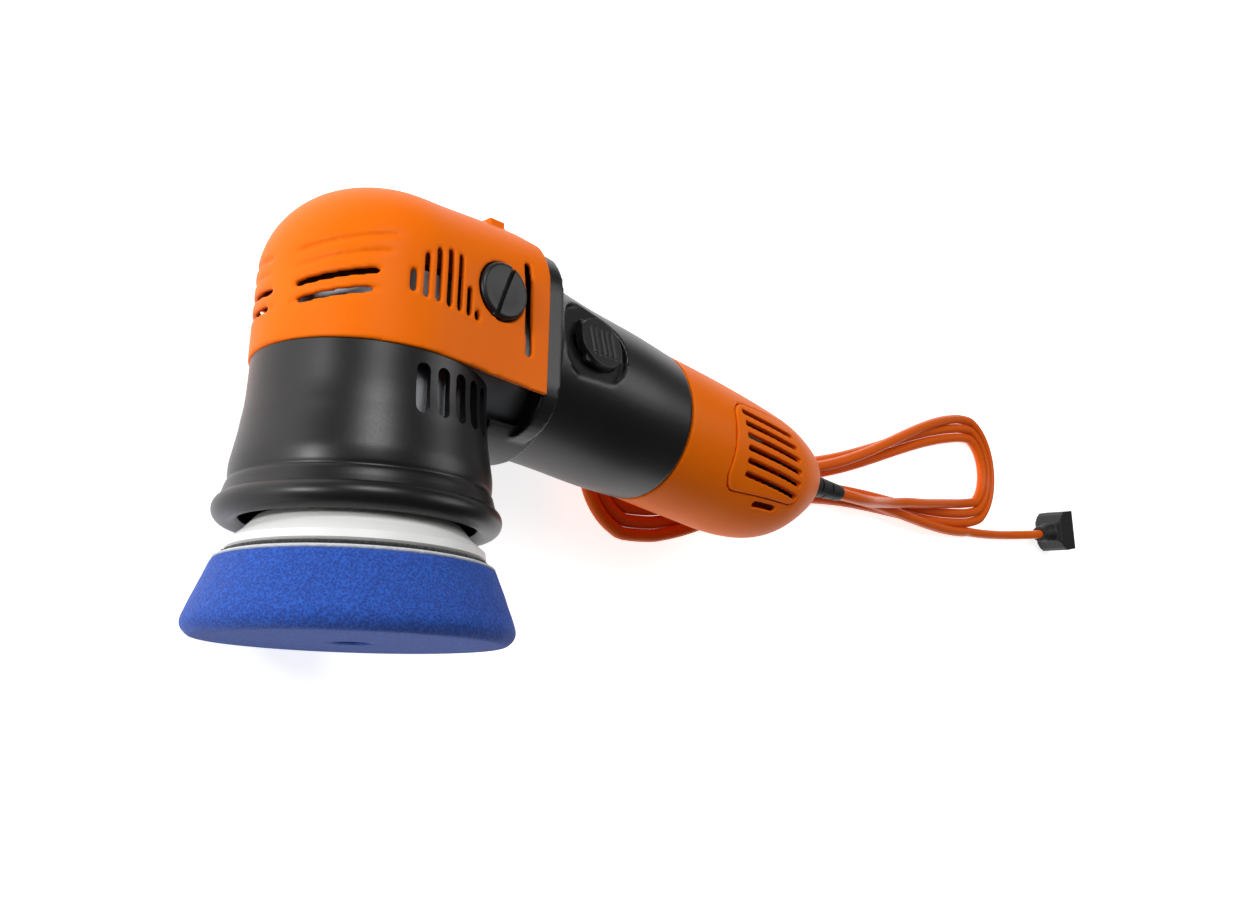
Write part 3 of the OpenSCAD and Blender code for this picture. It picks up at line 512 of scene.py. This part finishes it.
def hank_strap():
    """A hook and loop strap drawn tight round the six strands at the waist."""
    strands = [(s * WAIST_COLUMN[t], CORD_R + TIE_T + 0.1 + (PITCH * math.sqrt(3) / 2 if t == 2 else 0))
               for t in range(TURNS) for s in (1, -1)]

    def round_all(r):
        out = []
        for i in range(72):
            a = 2 * math.pi * i / 72
            n = Vector((math.cos(a), math.sin(a)))
            c = max(strands, key=lambda s: s[0] * n.x + s[1] * n.y)
            out.append((c[0] + r * n.x, c[1] + r * n.y))
        return out

    inner, outer = round_all(CORD_R + 0.05), round_all(CORD_R + TIE_T)
    loops = []
    for i, (p, q) in enumerate(zip(inner, outer)):
        half = TIE_W / 2
        loops.append([on_hank(-half, *p), on_hank(half, *p), on_hank(half - 0.2, *q), on_hank(0.2 - half, *q)])
    return rings("hank_strap", loops, closed=True)


strap = finished(hank_strap(), "tool", "black_trim", "hank_tie", matrix=FLAT, sharp=40)

PLUG_AT, PLUG_TURN, PLUG_L, PLUG_W, PLUG_T = Vector((739, 69, 14)), 12, 60, 42, 28


def plug():
    """A moulded three pin plug: ribbed neck, waisted grip and a six sided head."""
    place = Matrix.Translation(PLUG_AT) @ Matrix.Rotation(math.radians(PLUG_TURN), 4, "Z")
    lengthways = Matrix.Rotation(math.radians(90), 4, "Y")
    neck = [disc("rib", 8 + 0.5 * i, 4 * i, 4 * i + 2.6, lengthways, 32) for i in range(6)]
    core = disc("core", 7, 0, 26, lengthways, 32)
    half = PLUG_W / 2
    head = [(22, -9), (32, -half + 3), (38, -half), (PLUG_L, -half)]
    head += [(x, -y) for x, y in reversed(head)]
    body = prism("plug_head", head, -PLUG_T / 2, PLUG_T / 2)
    for side in (1, -1):
        chamfer = prism("chamfer", [(18, 6), (18, 30), (40, 30)], -40, 40,
                        Matrix.Rotation(math.radians(90 * side), 4, "X"))
        combined(body, chamfer, "DIFFERENCE")
    for rib in [core, *neck]:
        combined(body, rib, "UNION")
    softened(body, 0.7, 3)
    body.data.transform(place)
    body.name = "plug_moulding"
    return body


plug_piece = finished(plug(), "tool", "plug_rubber", "plug_body", matrix=FLAT)


def relief():
    """A tapered rubber boot with flexing gaps cut from alternate sides."""
    bore = CORD_R + 0.05
    outline = [(bore, 0), (10.5, 0), (10.5, 3), (10, 8), (8.6, 18), (7.3, 32), (6.4, 48), (6.1, RELIEF_L - 1),
               (5.6, RELIEF_L), (bore, RELIEF_L)]
    boot = lathe("relief_boot", outline, 64)
    slots = []
    for i in range(5):
        for side in (1, -1):
            turn = Matrix.Rotation(math.radians(90 * (i % 2)), 4, "Z")
            place = turn @ Matrix.Translation((side * 9.5, 0, 16 + 7 * i))
            slots.append(prism("slot", [(-3.6, -12), (3.6, -12), (3.6, 12), (-3.6, 12)], 0, 2, place))
    combined(boot, joined("slots", slots), "DIFFERENCE")
    boot.data.transform(along_x(TAIL_X, RELIEF_Z))
    return boot


boot_piece = finished(relief(), "tool", "plug_rubber", "strain_relief", sharp=35)

# ---- Pad ----
PAD_X = THROW / 2 * math.cos(math.radians(REST_ANGLE))
PAD_Y = THROW / 2 * math.sin(math.radians(REST_ANGLE))


def foam():
    """A cut foam disc that tapers to its cloth, with a rolled working edge and a softly uneven skin."""
    low, top, edge = PAD_D / 2, PAD_TOP_D / 2, 6.5
    side = eased([(low - 0.4, 9), (low - 3.4, 17), (low - 6.6, 25), (top + 0.4, PAD_H - 1.2)], 6)
    outline = [(PAD_HOLE_D / 2, 1.5), (PAD_HOLE_D / 2 + 1.5, 0)]
    outline += [(PAD_HOLE_D / 2 + 1.5 + (low - edge - 12) * i / 12, 0) for i in range(1, 12)]
    outline += arc(low - edge, edge, edge, -90, 15, 10)
    outline += [tuple(p) for p in side]
    outline += [(top - 0.5, PAD_H), (PAD_HOLE_D / 2, PAD_H)]
    pad = lathe("polishing_foam", outline, 240, (PAD_X, PAD_Y))
    for v in pad.data.vertices:
        if v.co.z > 0.5 and v.co.z < PAD_H - 0.2:
            out = Vector((v.co.x - PAD_X, v.co.y - PAD_Y, 0)).normalized()
            v.co += out * (0.35 * noise.noise(v.co / 9) - 0.25)
    return pad


foam_piece = finished(foam(), "pad_group", "foam", "foam_pad", sharp=60)


def ragged_disc(name, r, low, thick, rag, seed):
    """A disc of tape whose cut edge is ragged with fibres."""
    outline = [(PAD_HOLE_D / 2, low), (r - 1.2, low), (r, low + 0.3 * thick), (r, low + 0.7 * thick),
               (r - 1.2, low + thick), (PAD_HOLE_D / 2, low + thick)]
    made = lathe(name, outline, 720, (PAD_X, PAD_Y))
    for v in made.data.vertices:
        out = Vector((v.co.x - PAD_X, v.co.y - PAD_Y, 0))
        if out.length > r - 0.5:
            v.co += out.normalized() * rag * noise.noise(Vector((v.co.x, v.co.y, v.co.z * 3 + seed)) * 0.9)
    return made


HOOK_Z = PAD_H + LOOP_H
hook_tape = ragged_disc("hook_tape", PLATE_D / 2 + 1, HOOK_Z + 0.1, HOOK_H - 0.2, 0.9, 3)
finished(hook_tape, "pad_group", "hook_cloth", "hook_disc")
loop_tape = ragged_disc("loop_tape", PAD_TOP_D / 2 - 1, PAD_H + 0.05, LOOP_H - 0.1, 0.5, 8)
finished(loop_tape, "pad_group", "loop_cloth", "pad_loop")

# ---- Frames for the upright tool ----
COVER_FRONT = DRUM_R + 0.5
COVER_TOP = COVER_Z + COVER_H
SHOULDER_R, DOME_R = 38, 47
UPRIGHT = Matrix.Rotation(math.radians(90), 4, "X")
ENDWAYS = Matrix.Rotation(math.radians(90), 4, "Z") @ UPRIGHT
COVER_DROP = 5
COVER_SLOPE = math.atan(COVER_DROP / (COVER_FRONT + COVER_REAR))


def facing(side, at):
    """A frame at a point whose own upright axis looks out of the tool's right (1) or left (-1) side."""
    return Matrix.Translation(at) @ Matrix.Rotation(math.radians(-90 * side), 4, "X")


def beside(side, at=(0, 0, 0)):
    """A frame for flat outlines drawn as seen from the left side (1), or mirrored onto the right (-1)."""
    return Matrix.Translation(at) @ Matrix.Scale(side, 4, (0, 1, 0)) @ UPRIGHT


# ---- Shroud ----
SLOT_W, SLOT_STEP, SLOT_MID = 7, 11, 77


def shroud():
    """The bell: a plain drum, a shoulder, a swelling skirt and a groove above the rolled rim."""
    skirt = [(63.6, 66.8), (62.6, 70.4), (61.6, 72.2), (61.9, 74.6), (61.8, 80), (61.0, 85), (60.1, 90),
             (59.1, 96), (58.5, 101)]
    outer = arc(RIM_R - ROLL_R, RIM_Z, ROLL_R, -150, 58, 22)
    outer += [tuple(p) for p in eased(skirt, 4)]
    outer += [(58.1, 104), (57.6, 108), (57.3, 113), (57.1, 120), (56.9, 131)]
    web = FLANGE_Z - 3.5
    inner = [(53.9, 131), (54.2, 108), (54.6, FLANGE_Z), (34, FLANGE_Z), (34, web), (55, web), (57.6, 84),
             (58.2, 76), (57.8, 70), (57.5, 66.5)]
    bell = lathe("shroud_bell", outer + inner, 256)
    slots = []
    for side in (1, -1):
        for i in range(5):
            turn = Matrix.Rotation(math.radians(side * (SLOT_MID + SLOT_STEP * (2 - i))), 4, "Z")
            place = turn @ along_x(40, FLANGE_Z + 12)
            slots.append(prism("slot", stadium(24, SLOT_W), 0, 30, place))
    combined(bell, joined("slots", slots), "DIFFERENCE")
    saddle = disc("saddle", NECK_R + 1, 20, 80, along_x(0), 96)
    combined(bell, saddle, "DIFFERENCE")
    top = prism("top", [(-90, -90), (130, -90), (130, 90), (-90, 90)], 0, 30,
                Matrix.Translation((-COVER_FRONT, 0, COVER_Z + 0.6)) @ Matrix.Rotation(COVER_SLOPE, 4, "Y"))
    return combined(bell, top, "DIFFERENCE")


finished(shroud(), "tool", "black_shell", "shroud", sharp=32)

# ---- Head cover ----

def cover_block(name, o):
    """The solid that the cover wraps, smaller all round by o: a domed drum that runs back into a box."""
    low, far, top = 105 - 4 * o, COVER_REAR + 16, COVER_TOP - o
    dome = [(0.01, low), (COVER_FRONT - o, low)]
    dome += arc(COVER_FRONT - DOME_R, COVER_TOP - DOME_R, DOME_R - o, 0, 90, 16) + [(0.01, top)]
    block = lathe(name, dome, 128)
    loops = []
    for x, half, r in ((0, COVER_FRONT, DOME_R), (12, COVER_FRONT - 0.4, DOME_R - 1), (30, 56.3, 42),
                       (48, 55.2, 39), (COVER_REAR, COVER_W / 2, SHOULDER_R), (far, COVER_W / 2, SHOULDER_R)):
        loop = [(half - o, low)] + arc(half - r, COVER_TOP - r, r - o, 0, 90, 16)
        loop += arc(r - half, COVER_TOP - r, r - o, 90, 180, 16) + [(o - half, low)]
        loops.append([(x, y, z) for y, z in loop])
    block = softened(joined(name, [block, rings("rear", loops)]), 2, 0)
    side = [(-70, low), (-70, COVER_TOP + 5), (20, COVER_TOP + 5), (46, top - 1)]
    side += arc(48, COVER_TOP - 19, 18 - o, 84, 35, 8) + [(far + 5, top - 18), (far + 5, low)]
    combined(block, prism("side", side, -90, 90, UPRIGHT), "INTERSECT")
    return softened(block, 2, 7)


ROWS = [(173, 182.2, 68.5, 1.6), (165, 173.2, 64, 1), (156.8, 163.4, 60, 8), (148.4, 154.2, 58, 8)]
ROW_STARTS = {1: 15.5, -1: -5.5}
VENT_W, VENT_Y = 3.1, 52
VENTS = [(-16.5, 155.3, 167), (-10.4, 153.8, 176.4), (-4, 153.4, 180.6), (2.2, 152.8, 182), (8.3, 152.4, 181.6),
         (14, 151.8, 167), (19.4, 151.2, 156.4)]


def row_cutter(side, low, high, start, end, depth):
    """A curved bar that follows the nose of the cover and rises towards the rear."""
    loops = []
    steps = 22
    for i in range(steps + 1):
        a = math.radians(180 + side * (start + (end - start) * i / steps))
        z = low + (high - low) * i / steps
        tall = 3.1 * min(1, 0.35 + 1.6 * math.sin(math.pi * min(max(i / steps, 0.04), 0.96)))
        reach = (COVER_FRONT + 4, COVER_FRONT - depth)
        loops.append([(r * math.cos(a), r * math.sin(a), z + h * tall / 2)
                      for r, h in ((reach[0], -1), (reach[0], 1), (reach[1], 1), (reach[1], -1))])
    return rings("row", loops)


def cover():
    """A thin domed shell with grip grooves and vents."""
    shell = cover_block("gear_cover", 0)
    combined(shell, cover_block("hollow", COVER_WALL), "DIFFERENCE")
    cutters = []
    for side in (1, -1):
        for low, high, end, depth in ROWS:
            cutters.append(row_cutter(side, low, high, ROW_STARTS[side], end, depth))
        for x, low, high in VENTS:
            place = Matrix.Translation((x, side * VENT_Y, (low + high) / 2)) @ UPRIGHT
            slot = stadium(high - low, VENT_W)
            cutters.append(prism("vent", [(b, a) for a, b in slot], -14, 14, place))
        place = Matrix.Translation((53.4, side * VENT_Y, 167.5)) @ UPRIGHT
        place = place @ Matrix.Rotation(math.radians(2.5), 4, "Z")
        cutters.append(prism("long_vent", [(b, a) for a, b in stadium(50, 4.6)], -14, 14, place))
        cutters.append(disc("socket", CAP_D / 2 + 0.7, 30, 90, facing(side, (CAP_X, 0, CAP_Z))))
    for cutter in cutters:
        combined(shell, cutter, "DIFFERENCE")
    foot = prism("foot", [(-40, -90), (160, -90), (160, 90), (-40, 90)], -60, 0,
                 Matrix.Translation((-COVER_FRONT, 0, COVER_Z + 1)) @ Matrix.Rotation(COVER_SLOPE, 4, "Y"))
    combined(shell, foot, "DIFFERENCE")
    back = boxed("back", (COVER_REAR, -90, 60), (COVER_REAR + 60, 90, 260))
    combined(shell, back, "DIFFERENCE")
    combined(shell, boxed("lug", (43, -33, 212), (53, -22, 221.5)), "UNION")
    return softened(shell, 1.1, 2)


finished(cover(), "tool", "orange_shell", "head_cover")


def cap(side, name, node_name):
    """A round slotted plug in the socket for the side handle."""
    low, high = 52, COVER_W / 2 + CAP_PROUD
    r = CAP_D / 2
    outline = [(0.4, 38), (5, 38), (5, low), (r, low), (r, high - CAP_EDGE)]
    outline += arc(r - CAP_EDGE, high - CAP_EDGE, CAP_EDGE, 0, 90, 8)
    outline += [(r - 7, high - 0.5), (0.4, high - 0.7)]
    made = lathe(name, outline, 96)
    slot = prism("slot", [(-20, -1.3), (20, -1.3), (20, 1.3), (-20, 1.3)], high - 2.6, high + 5,
                 Matrix.Rotation(math.radians(-70 * side), 4, "Z"))
    combined(made, slot, "DIFFERENCE")
    made.data.transform(facing(side, (CAP_X, 0, CAP_Z)))
    return finished(made, "tool", "black_trim", node_name, sharp=35)


cap(1, "right_cap", "head_cap_right")
cap(-1, "left_cap", "head_cap_left")

# ---- Housings ----
MOTOR = [(80, 160, 51), (120, 155, 49), (160, 150.5, 48.5), (PARTING_X, 147.3, 46.7)]
TAIL_END = [(PARTING_X, 147.3, 46.7), (240, 142, 47), (285, 137, 46), (TAIL_X - 44, 136.5, 41),
            (TAIL_X - 12, 140, 28), (TAIL_X, 142, 19)]


def barrel(name, sections, inset, grow=0):
    """A round skin through the handle's sections."""
    knots = eased(sections, 8)
    if grow:
        first, last = knots[0], knots[-1]
        knots = [first - Vector((grow, 0, 0)), *knots, last + Vector((grow, 0, 0))]
    loops = []
    for x, z, r in knots:
        loops.append([(x, y, z + h) for y, h in arc(0, 0, r - inset, 0, 360 - 360 / 128, 127)])
    return rings(name, loops)


def rounded(half_w, z0, z1, r, n=10):
    """A rounded rectangle, centred across, between two heights."""
    return (arc(half_w - r, z1 - r, r, 0, 90, n) + arc(-half_w + r, z1 - r, r, 90, 180, n)
            + arc(-half_w + r, z0 + r, r, 180, 270, n) + arc(half_w - r, z0 + r, r, 270, 360, n))


SWITCH = (Matrix.Translation((SWITCH_X, 0, 155)) @ Matrix.Rotation(math.radians(90 - SWITCH_ANGLE), 4, "X")
          @ Matrix.Translation((0, 0, 49)))
COLLAR_X, COLLAR_L, COLLAR_Z, COLLAR_R = COVER_REAR + 0.5, 11, 108, 28


def motor_casing():
    """The black barrel: a collar against the cover, a lip under the neck and the switch recess."""
    shell = barrel("motor_casing", MOTOR, 0)
    collar = prism("collar", rounded(COVER_W / 2 - 3, COLLAR_Z, COVER_TOP - 8, COLLAR_R), COLLAR_X,
                   COLLAR_X + COLLAR_L, ENDWAYS)
    combined(shell, collar, "UNION")
    lip = disc("lip", NECK_R + 4.5, 45, 85, along_x(0), 96)
    combined(lip, boxed("below", (40, -34, 90), (85, 34, 114)), "INTERSECT")
    combined(shell, lip, "UNION")
    hollow = barrel("hollow", MOTOR, WALL, 0)
    combined(shell, hollow, "DIFFERENCE")
    combined(shell, disc("mouth", NECK_R + 0.4, 20, 76.5, along_x(0), 96), "DIFFERENCE")
    combined(shell, disc("air_way", NECK_R - 8, 60, 84, along_x(0), 96), "DIFFERENCE")
    combined(shell, disc("drum_room", DRUM_R + 1, 50, 140, Matrix(), 96), "DIFFERENCE")
    combined(shell, disc("end", 60, PARTING_X - 1, PARTING_X + 4, along_x(0), 32), "DIFFERENCE")
    floor_disc = disc("recess_floor", POCKET_R + 2, -POCKET_DEPTH - 2.5, 20, SWITCH, 96)
    combined(floor_disc, barrel("limit", MOTOR, 0.3), "INTERSECT")
    combined(shell, floor_disc, "UNION")
    combined(shell, disc("recess", POCKET_R, -POCKET_DEPTH, 30, SWITCH, 96), "DIFFERENCE")
    stem = prism("stem_way", [(-11, -4), (5, -4), (5, 4), (-11, 4)], -15, 5, SWITCH)
    combined(shell, stem, "DIFFERENCE")
    return softened(shell, 1.15, 2)


finished(motor_casing(), "tool", "black_shell", "motor_housing")

PANEL_X, PANEL_L, PANEL_Z, PANEL_H = 233, 77, 110, 54
PANEL_SLOTS, PANEL_SLOT_W, PANEL_SLOT_STEP, PANEL_SLOT_TILT = 6, 3.4, 7.7, -5.3
LATCH_AT = (278.5, 0, 106)


def panel_block(name, side, grow, r=12):
    """A rounded rectangle seen from the side, pushed out sideways."""
    x0, x1 = PANEL_X - grow, PANEL_X + PANEL_L + grow
    z0, z1 = PANEL_Z - grow, PANEL_Z + PANEL_H + grow
    outline = (arc(x1 - r, z1 - r, r, 0, 90, 6) + arc(x0 + r, z1 - r, r, 90, 180, 6)
               + arc(x0 + r, z0 + r, r, 180, 270, 6) + arc(x1 - r, z0 + r, r, 270, 360, 6))
    return prism(name, outline, 5, 90, beside(side))


def rear_casing():
    """The orange rear barrel with a window each side for the brush covers, a latch and the cord bore."""
    shell = barrel("rear_casing", TAIL_END, 0)
    combined(shell, barrel("hollow", TAIL_END, WALL, 0), "DIFFERENCE")
    combined(shell, disc("end", 60, PARTING_X - 5, PARTING_X + 0.3, along_x(0), 32), "DIFFERENCE")
    for side in (1, -1):
        combined(shell, panel_block("window", side, 0.5), "DIFFERENCE")
        latch = prism("latch_slot", stadium(24, 3), 5, 90, beside(side, LATCH_AT))
        combined(shell, latch, "DIFFERENCE")
    combined(shell, disc("cord_bore", 8.1, TAIL_X - 20, TAIL_X + 10, along_x(0, RELIEF_Z), 48), "DIFFERENCE")
    return softened(shell, 1.15, 2)


finished(rear_casing(), "tool", "orange_shell", "rear_housing")


def brush_cover(side, name, node_name):
    """A slotted cover over the carbon brushes, standing a little proud with a rolled edge."""
    plate = barrel(name, TAIL_END, -0.9)
    combined(plate, barrel("hollow", TAIL_END, WALL, 0), "DIFFERENCE")
    combined(plate, panel_block("keep", side, 0), "INTERSECT")
    tilt = Matrix.Rotation(math.radians(PANEL_SLOT_TILT), 4, "Z")
    for i in range(PANEL_SLOTS):
        x0, x1, z = 240 + 1.2 * i, min(298 + 2.4 * i, 306), 156 - PANEL_SLOT_STEP * i
        place = beside(side, ((x0 + x1) / 2, 0, z)) @ tilt
        slot = prism("slot", stadium(x1 - x0, PANEL_SLOT_W), 8, 90, place)
        combined(plate, slot, "DIFFERENCE")
    softened(plate, 0.6, 3)
    return finished(plate, "tool", "orange_shell", node_name)


brush_cover(1, "vent_panel_left", "brush_cover_left")
brush_cover(-1, "vent_panel_right", "brush_cover_right")


def slider():
    """The thumb piece of the slide switch: a round pad on a foot and stem, with grip ribs."""
    pad = disc("thumb_slider", 15, -POCKET_DEPTH + 0.5, 1.4, Matrix.Translation((4, 0, 0)), 64)
    combined(pad, prism("foot", [(-8, -13), (14, -13), (14, 13), (-8, 13)], -POCKET_DEPTH + 0.5, -1), "UNION")
    combined(pad, prism("stem", [(-4, -3), (4, -3), (4, 3), (-4, 3)], -9.2, -3), "UNION")
    for i in range(5):
        x = -4 + 4 * i
        combined(pad, prism("rib", [(x, -8), (x + 1.4, -8), (x + 1.4, 8), (x, 8)], 0, 2.3), "UNION")
    softened(pad, 0.45, 4)
    pad.data.transform(SWITCH)
    return pad


finished(slider(), "switch", "black_trim", "switch_slider")


# ---- Floor, lights and finish ----
def ground():
    """A wide pale studio floor just under the tool."""
    size, drop = 6, 0.0004
    mesh = bpy.data.meshes.new("studio_floor")
    corners = [(-size, -size, -drop), (size, -size, -drop), (size, size, -drop), (-size, size, -drop)]
    mesh.from_pydata(corners, [], [(0, 1, 2, 3)])
    obj = bpy.data.objects.new("studio_floor", mesh)
    bpy.context.collection.objects.link(obj)
    made, tree, shader, where = blank("pale_floor")
    speck = add(tree, "ShaderNodeTexNoise", {"Vector": where, "Scale": 3, "Detail": 2})
    mix = add(tree, "ShaderNodeMix", {0: speck.outputs["Fac"], 6: colour("#F4F4F4"), 7: colour("#F8F8F8")},
              data_type="RGBA")
    tree.links.new(mix.outputs[2], shader.inputs["Base Color"])
    shader.inputs["Roughness"].default_value = 0.9
    shader.inputs["Emission Color"].default_value = (1, 1, 1, 1)
    shader.inputs["Emission Strength"].default_value = 0.8
    mesh.materials.append(made)


ground()


def lamp(name, at, towards, size, power):
    """A soft rectangular studio light."""
    data = bpy.data.lights.new(name, "AREA")
    data.shape, data.size, data.energy = "SQUARE", size, power
    obj = bpy.data.objects.new(name, data)
    bpy.context.collection.objects.link(obj)
    aim = Vector(towards) - Vector(at)
    obj.matrix_world = Matrix.Translation(at) @ aim.to_track_quat("-Z", "Y").to_matrix().to_4x4()


lamp("key_light", (-0.7, 0.9, 1.2), (0, 0, 0.05), 0.5, 12)
lamp("side_light", (-1.2, 0.15, 0.3), (-0.14, 0, 0.08), 0.2, 6)
lamp("tail_light", (0.9, 0.5, 1.3), (0.3, 0, 0), 0.8, 8)
world = bpy.data.worlds.new("studio")
world.use_nodes = True
world.node_tree.nodes["Background"].inputs["Color"].default_value = (1, 1, 1, 1)
world.node_tree.nodes["Background"].inputs["Strength"].default_value = 0.12
bpy.context.scene.world = world
bpy.context.scene.view_settings.view_transform = "Standard"
